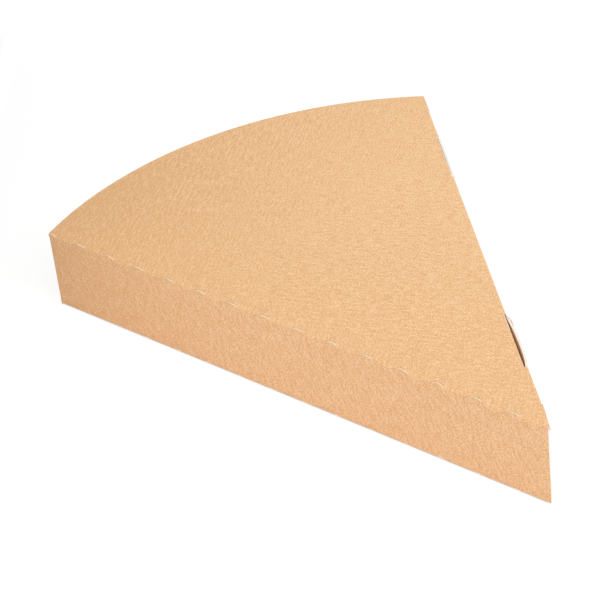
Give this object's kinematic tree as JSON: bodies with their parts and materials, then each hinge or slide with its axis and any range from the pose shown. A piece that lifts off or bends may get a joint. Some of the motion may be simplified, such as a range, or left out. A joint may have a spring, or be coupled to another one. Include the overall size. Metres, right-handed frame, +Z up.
{
  "type": "triangular pizza slice box",
  "caption": "Closed kraft corrugated wedge box for a slice of pizza: curved crust end, lid hinged along one straight side, tuck flap and lock tabs along the other.",
  "frame": {"origin": "centre of the footprint, on the surface that the box stands on", "axes": "+X along the hinge fold towards the tip, +Y from the hinge fold towards the back, +Z up"},
  "size_m": [0.2436, 0.1698, 0.0358],
  "materials": {
    "kraft_board": "matt unprinted kraft liner with faint flute lines"
  },
  "bodies": {
    "tray": {"tray": "kraft_board"},
    "lid": {"lid": "kraft_board"}
  },
  "joints": [
    {"name": "lid_hinge", "type": "hinge", "parent": "tray", "child": "lid", "pos_m": [0, -0.08485, 0.0338], "axis": [1, 0, 0], "range_deg": [0, 180]}
  ]
}
